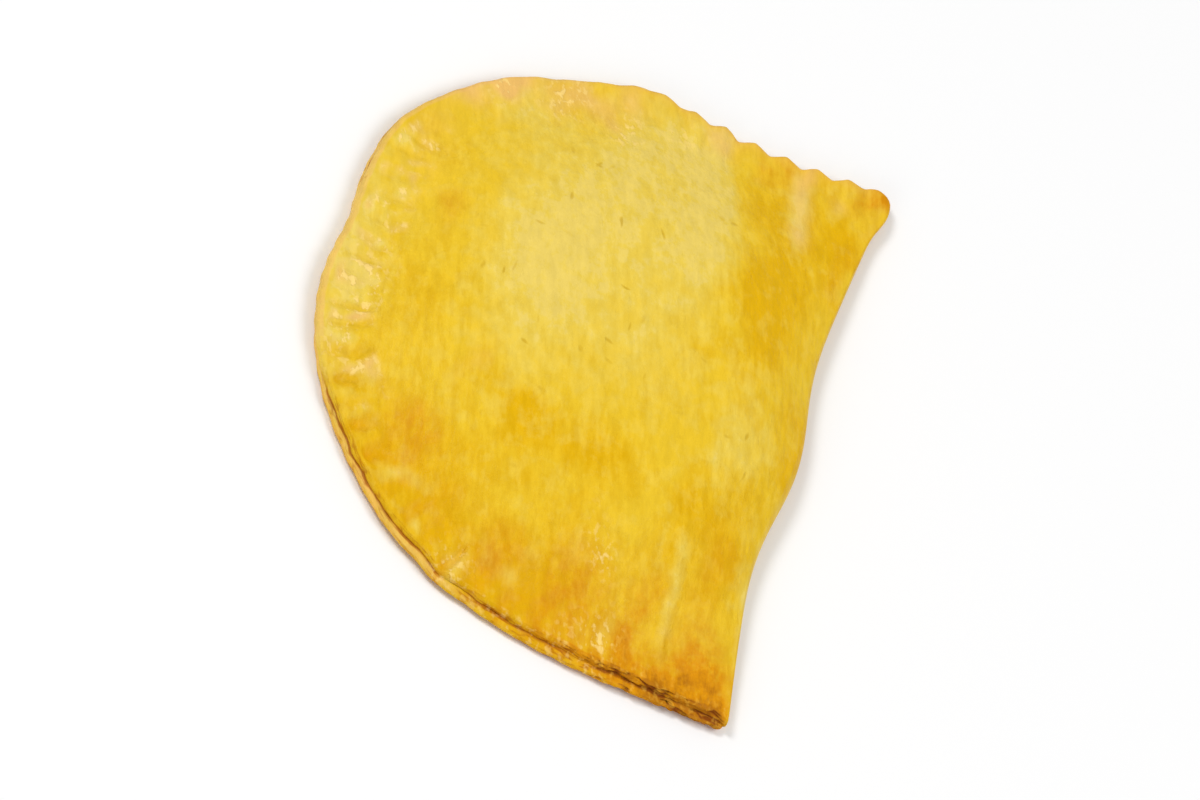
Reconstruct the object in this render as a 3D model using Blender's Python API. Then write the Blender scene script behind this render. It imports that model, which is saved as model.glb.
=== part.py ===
"""A folded savoury patty: a half-moon of flaky pastry with a smooth folded edge and a curved, crimped edge.

It lies flat on its base. X runs along the fold, the curved edge faces -Y, and the origin is under the
middle of its bounding box. Sizes are in metres.
"""

import math
import random

import bmesh
import bpy
import numpy as np

# Plan
CORNER_X = 0.0720  # half the length of the folded edge
APEX_X = 0.0064  # the curve is furthest from the fold here
DEPTH = 0.1168  # and is this far from it
# Each half of the curve runs from its corner to half_width at belly_at from the fold, drawn in between them
# by pinch, and then arches over to the apex.
PLUS_X_HALF = {"half_width": 0.0733, "belly_at": 0.045, "pinch": 0.0, "roundness": 1.88}
MINUS_X_HALF = {"half_width": 0.0703, "belly_at": 0.043, "pinch": 0.0009, "roundness": 2.47}
# Where the curve was rolled or pressed a little out of true: place along it, spread, distance outward.
WOBBLES = (
    (0.080, 0.063, 0.0004),
    (0.160, 0.031, -0.0004),
    (0.224, 0.013, 0.0009),
    (0.269, 0.032, 0.0009),
    (0.356, 0.022, -0.0003),
    (0.520, 0.023, -0.0008),
    (0.524, 0.065, -0.0012),
    (0.611, 0.039, 0.0014),
    (0.694, 0.141, -0.0011),
    (0.751, 0.020, -0.0007),
    (0.819, 0.023, 0.0019),
    (1.000, 0.033, 0.0009),
)
FOLD_HOLLOW = 0.0066  # how far the folded edge draws in between its corners
FOLD_HOLLOW_POWER = 1.34
FOLD_HOLLOW_LEAN = 0.35  # more of that hollow is on the +X side
FOLD_BULGE = {"x": 0.0049, "spread": 0.0195, "out": 0.0048}  # the filling pushes the fold back out here
FOLD_HEEL = {"x": -0.0673, "spread": 0.0052, "out": 0.0018}  # and the -X corner has a blunt heel
CORNER_SMOOTHING = 0.0017  # half the window that rounds the two corners
PLAN_STEP = 0.0005  # spacing of the fine outline that the rest is read from
HALF_STEPS = 160  # points in each stretch of the outline formula

# Heights
RIM_HEIGHT = 0.0042  # the two pastry sheets pressed together
DOME_HEIGHT = 0.0150  # top of the filled middle
DOME_START = 0.0100  # the dome rises from here, measured in from the curved edge
DOME_START_SOFTNESS = 0.004
DOME_RUN = 0.050  # and has reached its full height this much further in
DOME_FULLNESS = 2.5
# The dome falls to the fold over a run that is short in the middle and longer towards the corners, above all
# at the thin -X ear. In the middle the fold is a thick roll, so that there the dome meets it part way down.
FOLD_RUN = 0.022
PLUS_EAR_RUN = 0.008  # added to it at the +X corner
MINUS_EAR_RUN = 0.017  # and at the -X corner
FOLD_FULLNESS = 1.8
FOLD_ROLL = 0.0032  # how much of the run lies beyond the fold's edge
# Soft swells and dents that the filling leaves in the top: x, distance from the fold, radius, height.
SWELLS = (
    (-0.016, 0.058, 0.026, 0.0010),
    (-0.030, 0.040, 0.016, 0.0006),
    (0.040, 0.040, 0.018, 0.0007),
    (0.027, 0.066, 0.010, -0.0009),
    (0.029, 0.049, 0.009, -0.0008),
    (-0.052, 0.020, 0.014, -0.0007),
    (0.008, 0.092, 0.016, 0.0005),
    (-0.036, 0.090, 0.013, -0.0004),
    (0.052, 0.062, 0.012, 0.0003),
)

# Crimped edge
CRIMP_PITCH = 0.0076
CLOSE_PITCH_SHARE = 0.32  # the crimps stand closer together here, by this share
CLOSE_PITCH_AT = 0.49
CLOSE_PITCH_SPREAD = 0.10
CRIMP_DEPTH = 0.0011
CRIMP_BAND = 0.0105  # how far in from the edge the pressed marks reach
CRIMP_SEED = 11
CRIMP_UNEVENNESS = 0.35
# Share of the full crimp, then the scallop and the ledge of the lower sheet, at places along the curve from
# its +X end (0) to its -X end (1).
ALONG = (0.0, 0.10, 0.20, 0.35, 0.42, 0.58, 0.66, 0.80, 0.88, 1.0)
CRIMP_STRENGTH = (0.25, 0.35, 0.7, 0.9, 1.0, 0.9, 0.25, 0.2, 0.6, 0.4)
SCALLOP = (0.0, 0.0001, 0.0001, 0.0001, 0.0001, 0.0001, 0.0001, 0.0004, 0.0007, 0.0006)
LEDGE = (0.0024, 0.0024, 0.0019, 0.0012, 0.0003, 0.0002, 0.0002, 0.0002, 0.0002, 0.0002)
SCALLOP_SHIFT = 0.13  # share of the pitch by which the scallops stand aside from the ridges

CORNER_SHARE = 0.020  # the scallops fade out over this last share of the curve at each corner

# Wall between the base and the top, as (share of the rim's thickness, inset), on the crimped edge. The two
# sheets meet in the groove, and from there up the inset is counted from the upper sheet's own edge.
LOWER_SHEET_WALL = ((0.0, 0.0010), (0.12, 0.0002), (0.45, 0.0))
GROOVE_SHARE = 0.54
GROOVE_DEPTH = 0.0011
UPPER_SHEET_WALL = ((0.63, 0.0001), (0.86, 0.0), (1.0, 0.0006))
# On the folded edge the wall is a round nose, swept between these two angles from the horizontal.
NOSE_FROM = math.radians(-80)
NOSE_TO = math.radians(50)

# Base
RIM_LIFT = 0.0005  # the baked rim stands this far off the surface
RIM_LIFT_WAVE = 0.0003
RIM_LIFT_WAVES = 5
BASE_FLAT_INSET = 0.0090  # the base is flat further in than this

# Mesh density
SAMPLES_PER_CRIMP = 6
FOLD_SAMPLES = 48
BAND_RINGS = (0.0012, 0.0030, 0.0050, 0.0072, 0.0098)
CENTRE = np.array((0.0, 0.054))  # the rings close in on this point of the plan
DOME_RINGS = (0.75, 0.66, 0.56, 0.44, 0.30, 0.15)  # share of the way out from that point
DOME_SKIP = 2  # the dome's rings keep one sample in this many

PASTRY_COLOUR = (0.80, 0.52, 0.055, 1.0)
PASTRY_ROUGHNESS = 0.55


def half_curve(apex, half_width, belly_at, pinch, roundness):
    """One half of the curved edge, from its corner to the apex, with x counted outward."""
    rise = np.linspace(0.0, 1.0, HALF_STEPS, endpoint=False)
    side_x = CORNER_X + (half_width - CORNER_X) * np.sin(rise * math.pi / 2)
    side_x -= pinch * np.sin(rise * math.pi)
    side_y = rise * belly_at
    turn = np.linspace(0.0, math.pi / 2, HALF_STEPS)
    arch_x = apex + (half_width - apex) * np.abs(np.cos(turn)) ** (2 / roundness)
    arch_y = belly_at + (DEPTH - belly_at) * np.sin(turn) ** (2 / roundness)
    return np.column_stack((np.append(side_x, arch_x), np.append(side_y, arch_y)))


def fold_line():
    """The folded edge, from its -X corner to its +X corner."""
    share = np.linspace(-1.0, 1.0, HALF_STEPS)
    x = CORNER_X * share
    hollow = FOLD_HOLLOW * (1 - share**2) ** FOLD_HOLLOW_POWER * (1 + FOLD_HOLLOW_LEAN * share)
    for part in (FOLD_BULGE, FOLD_HEEL):
        hollow -= part["out"] * np.exp(-(((x - part["x"]) / part["spread"]) ** 2))
    return np.column_stack((x, hollow))


def evenly(points, step):
    """The polyline's points again, at equal steps along it."""
    along = np.append(0.0, np.cumsum(np.hypot(*np.diff(points, axis=0).T)))
    at = np.linspace(0.0, along[-1], max(2, round(along[-1] / step)) + 1)
    return np.column_stack([np.interp(at, along, points[:, k]) for k in (0, 1)])


def outward(points):
    """Unit directions out of an outline that runs anticlockwise, at each of its points."""
    run = np.gradient(points, axis=0)
    return np.column_stack((run[:, 1], -run[:, 0])) / np.hypot(*run.T)[:, None]


def wobbled(curve):
    """The curved edge with its WOBBLES."""
    places = np.linspace(0.0, 1.0, len(curve))
    out = np.zeros(len(curve))
    for place, spread, distance in WOBBLES:
        out += distance * np.exp(-(((places - place) / spread) ** 2))
    return curve + outward(curve) * out[:, None]


def plan():
    """(points, places): the closed outline, and each point's place along it. Places run from 0 to 1 along
    the curved edge, from +X to -X, and on from 1 to 2 along the fold."""
    plus = half_curve(APEX_X, **PLUS_X_HALF)
    minus = half_curve(-APEX_X, **MINUS_X_HALF)[::-1] * (-1, 1)
    curve = wobbled(evenly(np.vstack((plus, minus[1:])), PLAN_STEP))
    fold = evenly(fold_line(), PLAN_STEP)
    points = np.vstack((curve[:-1], fold[:-1]))
    places = np.append(
        np.linspace(0.0, 1.0, len(curve) - 1, endpoint=False),
        np.linspace(1.0, 2.0, len(fold) - 1, endpoint=False),
    )
    reach = round(CORNER_SMOOTHING / PLAN_STEP)
    shifted = [np.roll(points, k, axis=0) for k in range(-reach, reach + 1)]
    return np.mean(shifted, axis=0), places


PLAN, PLACES = plan()
CURVE = PLAN[PLACES < 1]
CURVE_PLACES = PLACES[PLACES < 1]
FOLD = PLAN[PLACES >= 1]
CURVE_LENGTH = len(CURVE) * PLAN_STEP


def crimp_phases():
    """The number of crimps passed at each point of CURVE, ending on a whole number."""
    dip = np.exp(-(((CURVE_PLACES - CLOSE_PITCH_AT) / CLOSE_PITCH_SPREAD) ** 2))
    passed = np.cumsum(1 / (CRIMP_PITCH * (1 - CLOSE_PITCH_SHARE * dip)))
    passed *= CURVE_LENGTH / len(CURVE)
    passed -= passed[0]
    return passed * round(passed[-1]) / passed[-1]


PHASES = crimp_phases()
CRIMPS = round(PHASES[-1])
CRIMP_DRAW = random.Random(CRIMP_SEED)
CRIMP_SHARES = np.array(
    [1 + CRIMP_UNEVENNESS * CRIMP_DRAW.uniform(-1, 1) for _ in range(CRIMPS + 1)]
)


def along(values, places):
    """A property listed in step with ALONG, read at places on the curved edge."""
    return np.interp(places, ALONG, values)


def outline_at(places):
    """Points of the smooth outline, and the unit directions out of it, at places from 0 to 2."""
    wrapped = np.vstack((PLAN, PLAN[:1]))
    marks = np.append(PLACES, 2.0)
    points = np.column_stack([np.interp(places, marks, wrapped[:, k]) for k in (0, 1)])
    out = outward(wrapped)
    return points, np.column_stack([np.interp(places, marks, out[:, k]) for k in (0, 1)])


def nearest(points, line):
    """(distance, index) of the closest point of a fine line to each of points."""
    gap = np.hypot(points[:, None, 0] - line[None, :, 0], points[:, None, 1] - line[None, :, 1])
    index = gap.argmin(axis=1)
    return gap[np.arange(len(points)), index], index


def ease(share):
    """A smooth step from 0 to 1."""
    share = np.clip(share, 0.0, 1.0)
    return share * share * (3 - 2 * share)


def pressed(phases):
    """How deep each place is pressed: 0 on a ridge, and in a trough 1 times that crimp's own share."""
    trough = 0.5 - 0.5 * np.cos(2 * math.pi * phases)
    return trough * np.interp(phases, np.arange(CRIMPS + 1) + 0.5, CRIMP_SHARES)


def dome_share(points, from_curve, from_fold):
    """Share of the dome's full height over plan points, from 0 on the crimped rim to 1 in the middle."""
    past = from_curve - DOME_START
    past = (past + np.hypot(past, DOME_START_SOFTNESS)) / 2
    rise = 1 - (1 - np.clip(past / DOME_RUN, 0.0, 1.0)) ** DOME_FULLNESS
    ear_run = np.where(points[:, 0] > 0, PLUS_EAR_RUN, MINUS_EAR_RUN)
    run = FOLD_RUN + ear_run * np.abs(points[:, 0] / CORNER_X) ** 1.5
    reached = np.clip((from_fold + FOLD_ROLL) / (run + FOLD_ROLL), 0.0, 1.0)
    return rise * (1 - (1 - reached) ** FOLD_FULLNESS)


def top_height(points):
    """Height of the top surface over plan points."""
    from_curve, index = nearest(points, CURVE)
    from_fold, _ = nearest(points, FOLD)
    rise = dome_share(points, from_curve, from_fold)
    height = RIM_HEIGHT + (DOME_HEIGHT - RIM_HEIGHT) * rise
    for x, y, radius, swell in SWELLS:
        away = np.hypot(points[:, 0] - x, points[:, 1] - y) / radius
        height += swell * np.exp(-(away**2)) * np.clip(rise * 2, 0.0, 1.0)
    band = ease(1 - (from_curve - CRIMP_BAND / 2) / (CRIMP_BAND / 2))
    strength = along(CRIMP_STRENGTH, CURVE_PLACES[index])
    return height - CRIMP_DEPTH * strength * band * pressed(PHASES[index])


def ring_places():
    """Places of the ring's samples: a whole number for each crimp, then the fold."""
    wanted = np.arange(CRIMPS * SAMPLES_PER_CRIMP) / SAMPLES_PER_CRIMP
    curve = np.interp(wanted, PHASES, CURVE_PLACES)
    fold = np.linspace(1.0, 2.0, FOLD_SAMPLES, endpoint=False)
    return np.append(curve, fold)


def wall_shapes(on_fold, ledge, thickness):
    """(share of the thickness, inset) arrays for each level of the wall, blended into the fold's nose."""
    levels = [(share, np.full_like(ledge, inset)) for share, inset in LOWER_SHEET_WALL]
    levels.append((GROOVE_SHARE, ledge + GROOVE_DEPTH))
    levels += [(share, inset + ledge) for share, inset in UPPER_SHEET_WALL]
    radius = thickness / (1 + math.sin(NOSE_TO))
    shapes = []
    for step, (share, inset) in enumerate(levels):
        angle = NOSE_FROM + (NOSE_TO - NOSE_FROM) * step / (len(levels) - 1)
        nose_share = (1 + math.sin(angle)) / (1 + math.sin(NOSE_TO))
        nose_inset = radius * (1 - math.cos(angle))
        shapes.append(
            (share + (nose_share - share) * on_fold, inset + (nose_inset - inset) * on_fold)
        )
    return shapes


def rings():
    """Closed rings of points, from the base out, up the wall, and in to the top of the dome."""
    places = ring_places()
    smooth, out = outline_at(places)
    curve_places = np.clip(places, 0.0, 1.0)
    to_corner = np.minimum(curve_places, 1 - curve_places)
    ripple = np.cos(2 * math.pi * (np.interp(curve_places, CURVE_PLACES, PHASES) + SCALLOP_SHIFT))
    scallop = along(SCALLOP, curve_places) * ripple * ease(to_corner / CORNER_SHARE)
    points = smooth + out * scallop[:, None]
    inward = CENTRE - points
    inward /= np.hypot(*inward.T)[:, None]

    on_fold = np.where(places >= 1, 1.0, 0.0)
    ledge = along(LEDGE, curve_places)
    lift = RIM_LIFT + RIM_LIFT_WAVE * np.sin(2 * math.pi * RIM_LIFT_WAVES * places)
    edge_top = top_height(points + inward * (ledge + UPPER_SHEET_WALL[-1][1])[:, None])
    thickness = edge_top - lift
    made = [np.column_stack((points + inward * BASE_FLAT_INSET, 0 * lift))]
    for share, inset in wall_shapes(on_fold, ledge, thickness):
        made.append(np.column_stack((points + inward * inset[:, None], lift + thickness * share)))
    for inset in BAND_RINGS:
        ring = points + inward * (ledge + UPPER_SHEET_WALL[-1][1] + inset)[:, None]
        made.append(np.column_stack((ring, top_height(ring))))
    for share in DOME_RINGS:
        ring = (CENTRE + (smooth - CENTRE) * share)[::DOME_SKIP]
        made.append(np.column_stack((ring, top_height(ring))))
    return made


def bridge(bm, outer, inner):
    """Faces between two rings. The inner one may hold one vertex for every few of the outer's."""
    skip = len(outer) // len(inner)
    for i, corner in enumerate(inner):
        following = inner[(i + 1) % len(inner)]
        run = [outer[(i * skip + k) % len(outer)] for k in range(skip + 1)]
        for first, second in zip(run[:-2], run[1:-1]):
            bm.faces.new((first, second, corner))
        bm.faces.new((run[-2], run[-1], following, corner))


def pastry_material():
    material = bpy.data.materials.new("baked_pastry")
    material.use_nodes = True
    shader = material.node_tree.nodes["Principled BSDF"]
    shader.inputs["Base Color"].default_value = PASTRY_COLOUR
    shader.inputs["Roughness"].default_value = PASTRY_ROUGHNESS
    shader.inputs["Metallic"].default_value = 0.0
    return material


def make_patty():
    """The whole patty as one closed solid."""
    made = rings()
    everything = np.vstack([ring[:, :2] for ring in made])
    middle = (everything.min(axis=0) + everything.max(axis=0)) / 2
    bm = bmesh.new()

    def placed(point):
        return bm.verts.new((point[0] - middle[0], middle[1] - point[1], point[2]))

    loops = [[placed(point) for point in ring] for ring in made]
    for outer, inner in zip(loops, loops[1:]):
        bridge(bm, outer, inner)
    crown = np.append(CENTRE, top_height(CENTRE[None])[0])
    for loop, tip in ((loops[0], np.append(CENTRE, 0.0)), (loops[-1], crown)):
        hub = placed(tip)
        for first, second in zip(loop, loop[1:] + loop[:1]):
            bm.faces.new((first, second, hub))
    bmesh.ops.recalc_face_normals(bm, faces=bm.faces)
    bmesh.ops.triangulate(bm, faces=bm.faces)
    mesh = bpy.data.meshes.new("patty")
    bm.to_mesh(mesh)
    bm.free()
    mesh.shade_smooth()
    mesh.materials.append(pastry_material())
    patty = bpy.data.objects.new("patty", mesh)
    bpy.context.scene.collection.objects.link(patty)
    return patty


def main():
    for old in list(bpy.data.objects):
        bpy.data.objects.remove(old)
    make_patty()


main()
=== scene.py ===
"""A folded savoury patty as it comes from the oven, on a pale floor in soft studio light.

The pastry is one closed piece that follows the solid in the frame and adds what baking leaves on it: crimp
marks, flaky layers along the open edge, soft wrinkles and browning. Sizes are in metres. Plan coordinates
count x along the fold and y from the fold towards the crimped curve.
"""

import math
import random
from collections import namedtuple
from types import SimpleNamespace

import bpy
import numpy as np
from mathutils import Matrix, Vector, noise


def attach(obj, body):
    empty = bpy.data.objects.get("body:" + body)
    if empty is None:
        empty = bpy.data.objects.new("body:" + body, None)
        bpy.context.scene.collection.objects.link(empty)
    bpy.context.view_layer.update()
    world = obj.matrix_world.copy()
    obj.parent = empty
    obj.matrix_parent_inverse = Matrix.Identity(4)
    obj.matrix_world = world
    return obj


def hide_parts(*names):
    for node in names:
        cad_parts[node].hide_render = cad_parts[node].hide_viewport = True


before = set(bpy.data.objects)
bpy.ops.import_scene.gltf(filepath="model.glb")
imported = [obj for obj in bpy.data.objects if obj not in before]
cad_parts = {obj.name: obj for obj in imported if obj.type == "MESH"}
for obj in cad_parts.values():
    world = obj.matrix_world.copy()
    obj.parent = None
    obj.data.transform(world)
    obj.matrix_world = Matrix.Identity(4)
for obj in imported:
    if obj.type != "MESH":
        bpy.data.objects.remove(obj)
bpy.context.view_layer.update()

# Plan
PLAN_MIDDLE = (0.00045, 0.05734)  # this point of the plan is the frame's origin
CORNER_X = 0.0720  # half the length of the folded edge
APEX_X = 0.0064  # the curve is furthest from the fold here
DEPTH = 0.1168  # and is this far from it
PLUS_X_HALF = {"half_width": 0.0733, "belly_at": 0.045, "pinch": 0.0, "roundness": 1.88}
MINUS_X_HALF = {"half_width": 0.0703, "belly_at": 0.043, "pinch": 0.0009, "roundness": 2.47}
# Where the curve is a little out of true: place along it, spread, distance outward.
WOBBLES = (
    (0.080, 0.063, 0.0004),
    (0.160, 0.031, -0.0004),
    (0.224, 0.013, 0.0009),
    (0.269, 0.032, 0.0009),
    (0.356, 0.022, -0.0003),
    (0.520, 0.023, -0.0008),
    (0.524, 0.065, -0.0012),
    (0.611, 0.039, 0.0014),
    (0.694, 0.141, -0.0011),
    (0.751, 0.020, -0.0007),
    (0.819, 0.023, 0.0019),
    (1.000, 0.033, 0.0009),
)
FOLD_HOLLOW = 0.0066  # how far the folded edge draws in between its corners
FOLD_HOLLOW_POWER = 1.34
FOLD_HOLLOW_LEAN = 0.35  # more of that hollow is on the +X side
FOLD_BULGE = {"x": 0.0049, "spread": 0.0195, "out": 0.0048}  # the filling pushes the fold out here
FOLD_HEEL = {"x": -0.0673, "spread": 0.0052, "out": 0.0018}  # and the -X corner has a blunt heel
CORNER_SMOOTHING = 0.0017  # half the window that rounds the two corners
PLAN_STEP = 0.0005  # spacing of the fine outline that the rest is read from
HALF_STEPS = 160

# Heights
RIM_HEIGHT = 0.0042
DOME_HEIGHT = 0.0150
DOME_START = 0.0100  # the dome rises from here, measured in from the curved edge
DOME_START_SOFTNESS = 0.004
DOME_RUN = 0.050  # and has its full height this much further in
DOME_FULLNESS = 2.5
FOLD_RUN = 0.022  # the dome falls to the fold over this run
PLUS_EAR_RUN = 0.008  # added to it at the +X corner
MINUS_EAR_RUN = 0.017  # and at the -X corner
FOLD_FULLNESS = 1.8
FOLD_ROLL = 0.0032  # how much of the run lies beyond the fold's edge
# Swells and dents: x, y, radius, height.
SWELLS = (
    (-0.016, 0.058, 0.026, 0.0010),
    (-0.030, 0.040, 0.016, 0.0006),
    (0.040, 0.040, 0.018, 0.0007),
    (0.027, 0.066, 0.010, -0.0009),
    (0.029, 0.049, 0.009, -0.0008),
    (-0.052, 0.020, 0.014, -0.0007),
    (0.008, 0.092, 0.016, 0.0005),
    (-0.036, 0.090, 0.013, -0.0004),
    (0.052, 0.062, 0.012, 0.0003),
)
# Soft ridges in the top sheet: from x, y to x, y, half width, height.
WRINKLES = (
    (0.034, 0.0250, 0.069, 0.0190, 0.0015, 0.0008),
    (-0.070, 0.0180, -0.054, 0.0175, 0.0016, 0.0005),
    (0.060, 0.0075, 0.069, 0.0050, 0.0013, 0.0004),
    (-0.008, 0.0190, 0.022, 0.0175, 0.0030, 0.0003),
    (0.020, 0.0330, 0.046, 0.0350, 0.0022, 0.0002),
)
# The filled part ends here on the -X side, in a low step down towards the ear.
STEP_LINE = ((-0.0680, 0.0375), (-0.0500, 0.0340), (-0.0350, 0.0310), (-0.0190, 0.0270), (-0.005, 0.0200))
STEP_DROP = 0.0005
STEP_RUN = 0.0080
STEP_REACH = 0.018  # the drop levels out over this distance
STEP_END_X = -0.006  # there is none past this x
STEP_END_RUN = 0.016
# Fine waves in the top: height, size, seed. They begin a little way in from the edge and from the fold.
WAVES = ((0.00022, 0.011, 1.5), (0.00009, 0.0042, 7.5))
WAVES_FROM_EDGE = 0.004
WAVES_FROM_FOLD = 0.003

# Crimped edge
CRIMP_PITCH = 0.0076
CLOSE_PITCH_SHARE = 0.32  # the crimps stand closer together round the apex, by this share
CLOSE_PITCH_AT = 0.49
CLOSE_PITCH_SPREAD = 0.10
CRIMP_DEPTH = 0.0011
CRIMP_SEED = 11
CRIMP_UNEVENNESS = 0.55
CRIMP_JITTER = 0.17  # share of the pitch by which a ridge may stand aside
CRIMP_SLANT = 0.22  # share of the pitch by which a mark may lean over its length
CRIMP_END_SPREAD = 0.0020
CRIMP_RISE = 0.0022  # run over which a mark reaches its depth
CRIMP_FALL = 0.0040  # and over which it ends
CRIMP_EDGE_SHARE = 0.25  # share of its depth at the very edge
CRIMP_LIP = 0.00012  # dough pushed up beyond the end of a mark
CRIMP_LIP_RUN = 0.0014
CRIMP_WANDER = 0.11  # share of the pitch by which a mark wanders
CRIMP_END_WAVE = 0.0008  # how far the ends of the marks wander
CRIMP_LINE_FROM = 0.82  # share of a mark's depth from which its bottom line counts
CRIMP_FROM_FOLD = 0.006  # the marks fade out over this run at the fold
# Places along the curve from its +X end (0) to its -X end (1), and what holds at each of them
ALONG = (0.0, 0.10, 0.20, 0.35, 0.42, 0.58, 0.66, 0.80, 0.88, 1.0)
CRIMP_STRENGTH = (0.25, 0.35, 0.7, 0.85, 0.62, 0.55, 0.12, 0.12, 0.6, 0.4)
CRIMP_SHARPNESS = (1.2, 1.2, 1.3, 1.4, 1.9, 1.9, 1.6, 1.5, 1.2, 1.2)
CRIMP_START = (0.0, 0.0, 0.0002, 0.0004, 0.0014, 0.0020, 0.0018, 0.0010, 0.0002, 0.0)
CRIMP_END = (0.0055, 0.0055, 0.0058, 0.0062, 0.0080, 0.0082, 0.0070, 0.0060, 0.0068, 0.0060)
SCALLOP = (0.0, 0.0001, 0.0001, 0.0001, 0.0001, 0.0001, 0.00005, 0.00015, 0.0008, 0.0007)
SCALLOP_SHIFT = 0.13
# Towards -X the scallops turn into small shelves with sharper steps.
SHELF_FROM = 0.74
SHELF_RUN = 0.08
SHELF_SHARPNESS = 0.96
SHELF_HEIGHT = 1.15
LEDGE = (0.0024, 0.0024, 0.0019, 0.0012, 0.0003, 0.0002, 0.0002, 0.0002, 0.0002, 0.0002)
CORNER_SHARE = 0.020

# Wall
RIM_LIFT = 0.0005  # the baked rim stands this far off the surface
RIM_LIFT_WAVE = 0.0003
RIM_LIFT_WAVES = 5
BASE_FLAT_INSET = 0.0090  # the base is flat further in than this
# On the folded edge the wall is a round nose between these angles from the horizontal.
NOSE_FROM = math.radians(-80)
NOSE_TO = math.radians(50)
CORNER_BLEND = 0.0022  # the open edge turns into the fold over twice this
LEDGE_UNEVENNESS = 0.30  # share of LEDGE
LEDGE_WAVE = 0.0065  # length of its uneven stretches
LEDGE_SEED = (2.5, 17.5)
LOWER_TOP_SHARE = 0.48  # the lower sheet's share of the wall
SEAM_SHARE = 0.54  # the gap between the sheets closes here
UPPER_FROM_SHARE = 0.59
CLOSED_RISE = 0.05  # how much higher the line between them runs where they are baked together
GROOVE_DEPTH = 0.0004
BASE_ROUNDING = 0.0010
LOWER_ROUNDING = 0.0005
LOWER_ROUND_FROM = 0.55
UPPER_ROUNDING = 0.0010
UPPER_FOOT_ROUNDING = 0.0001
WHOLE_BULGE = 1.5  # how full the wall is where it shows no second sheet
LOWER_LEVELS = 10
LEDGE_LEVELS = 8
SEAM_LEVELS = 4
UPPER_LEVELS = 10
FLAKE_DEPTH = 0.00018
TIP_FLAKE_DEPTH = 0.00055  # the baked layers stand apart near the +X corner
TIP_END = 0.16  # that is, before this place on the curve
TIP_RUN = 0.13
FAINT_LAYERS = 0.55  # how clear they are elsewhere
LAYER_WIDTH = 0.24
LAYER_MEAN = 0.2
SHEET_RUN = 0.0042  # as many layers show over this run of the ledge as over the wall's whole height
# Noises over the wall: strength, length along it, layers over its height, seed.
FLAKES = ((0.7, 0.0045, 6, 3.3), (0.5, 0.0014, 12, 9.3))
CRACKS = ((1.0, 0.0075, 4.2, 5.5), (0.3, 0.0018, 8, 15.5))
# How far the gap between the sheets is open along the curve: place, share.
SEAM_OPEN = (
    (0.0, 0.9),
    (0.12, 0.8),
    (0.17, 0.6),
    (0.175, 1.0),
    (0.20, 1.0),
    (0.206, 0.15),
    (0.224, 0.1),
    (0.230, 1.0),
    (0.37, 0.9),
    (0.39, 0.4),
    (0.41, 0.0),
    (0.555, 0.0),
    (0.572, 0.9),
    (0.592, 0.9),
    (0.61, 0.1),
    (0.7, 0.3),
    (1.0, 0.3),
)
# How clearly two sheets can be told apart at the edge: place, share.
PARTED = (
    (0.0, 1.0),
    (0.37, 1.0),
    (0.44, 0.0),
    (0.53, 0.0),
    (0.56, 1.0),
    (0.60, 1.0),
    (0.63, 0.5),
    (0.98, 0.5),
    (1.0, 0.0),
)

# Mesh density
SAMPLES_PER_CRIMP = 16
FOLD_SAMPLES = 176
BAND_END = 0.0125
BAND_RINGS = 26
DOME_RINGS = 48
DOME_SKIPS = ((0.5, 2), (0.75, 4), (1.0, 8))  # up to this share of the way in, one sample in so many
BASE_ROWS = ((0.06, 8), (0.30, 8), (0.55, 4), (0.78, 2))  # share of the way out, one sample in so many
BASE_EDGE_ROWS = (0.0, 0.25, 0.5, 0.75)
CENTRE = np.array((0.0, 0.054))  # the rings close in on this point of the plan

# View
CAMERA_RIGHT = Vector((-0.2447, 0.8846, 0.3965))
CAMERA_UP = Vector((-0.7980, -0.4161, 0.4351))
CAMERA_BACK = Vector((0.5500, -0.2100, 0.8077))
CAMERA_TARGET = Vector((0.00982, 0.00776, 0.00748))
CAMERA_DISTANCE = 7.2
CAMERA_LENS = 1000
CAMERA_CLIP = (0.5, 40)

# Studio
FLOOR_SIZE = 6.0
FLOOR_COLOUR = (0.92, 0.92, 0.92, 1)
FLOOR_ROUGHNESS = 0.9
FLOOR_GLOSS = 0.1
SKY_COLOUR = (1.0, 1.0, 1.0, 1)
SKY_STRENGTH = 0.455
LIGHT_DISTANCE = 1.6
# Soft round lights: name, direction, size across, power.
LIGHTS = (
    ("key", (-0.20, -0.85, 1.15), 0.5, 9.8),
    ("fill", (0.15, 0.65, 1.00), 1.0, 9.5),
    ("front", (0.95, -0.40, 0.50), 0.8, 3.0),
)


def half_curve(apex, half_width, belly_at, pinch, roundness):
    """One half of the curved edge, from its corner to the apex, with x counted outward."""
    rise = np.linspace(0.0, 1.0, HALF_STEPS, endpoint=False)
    side_x = CORNER_X + (half_width - CORNER_X) * np.sin(rise * math.pi / 2)
    side_x -= pinch * np.sin(rise * math.pi)
    side_y = rise * belly_at
    turn = np.linspace(0.0, math.pi / 2, HALF_STEPS)
    arch_x = apex + (half_width - apex) * np.abs(np.cos(turn)) ** (2 / roundness)
    arch_y = belly_at + (DEPTH - belly_at) * np.sin(turn) ** (2 / roundness)
    return np.column_stack((np.append(side_x, arch_x), np.append(side_y, arch_y)))


def fold_line():
    """The folded edge, from its -X corner to its +X corner."""
    share = np.linspace(-1.0, 1.0, HALF_STEPS)
    x = CORNER_X * share
    hollow = FOLD_HOLLOW * (1 - share**2) ** FOLD_HOLLOW_POWER * (1 + FOLD_HOLLOW_LEAN * share)
    for part in (FOLD_BULGE, FOLD_HEEL):
        hollow -= part["out"] * np.exp(-(((x - part["x"]) / part["spread"]) ** 2))
    return np.column_stack((x, hollow))


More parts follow.
